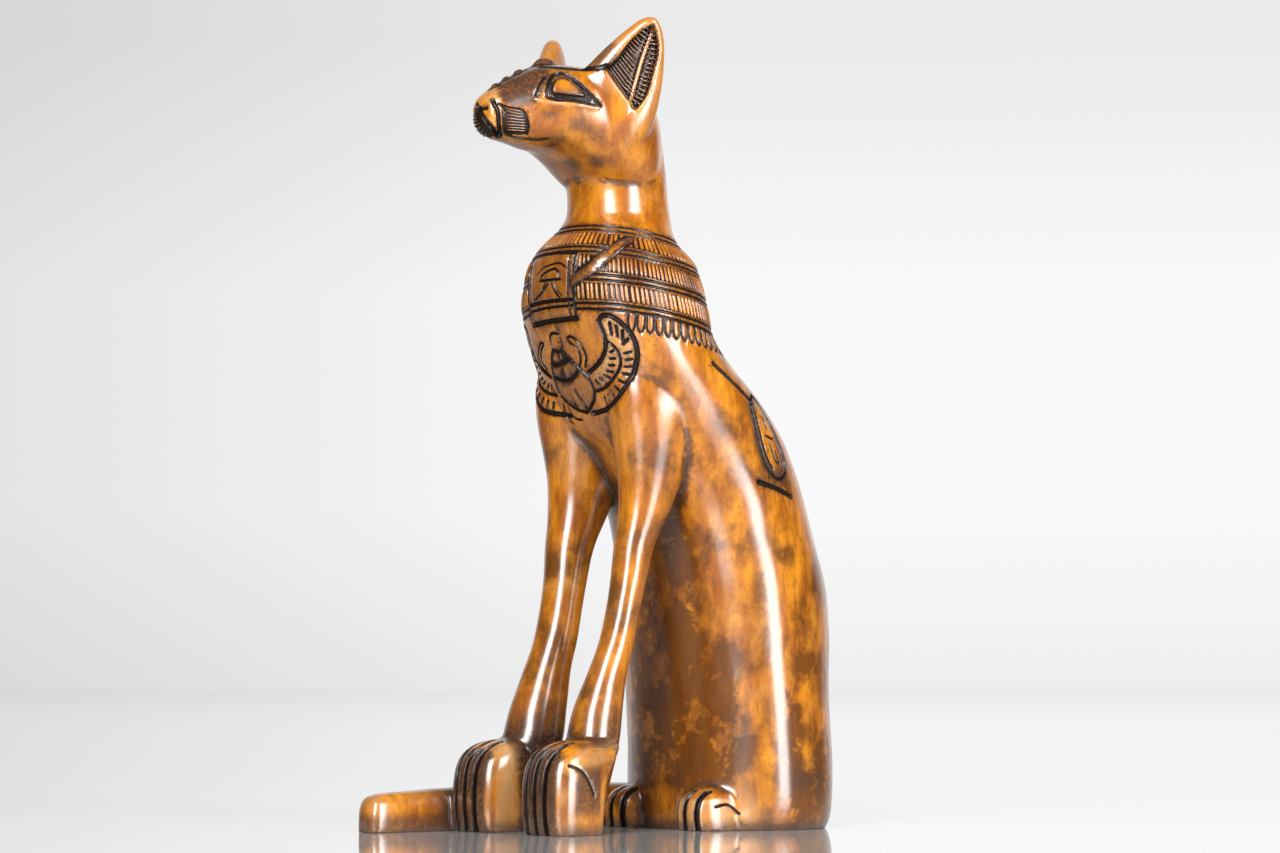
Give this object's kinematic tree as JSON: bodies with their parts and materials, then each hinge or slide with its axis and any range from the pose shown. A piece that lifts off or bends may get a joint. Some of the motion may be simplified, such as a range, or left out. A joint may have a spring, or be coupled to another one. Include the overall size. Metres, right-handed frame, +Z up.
{
  "type": "bastet cat statue",
  "caption": "Seated cat figure carved from one block of soft stone, upright on its haunches, with a broad collar, pendant, winged scarab and its tail laid along one side.",
  "frame": {"origin": "middle of the underside of the figure's bounding box", "axes": "+Z up, the cat faces -Y, its own left side is +X"},
  "size_m": [0.0832, 0.1488, 0.25],
  "materials": {
    "stone": "brown stained and waxed soft stone, dark in its hollows"
  },
  "bodies": {
    "root": {"cat_figure": "stone"}
  },
  "joints": []
}
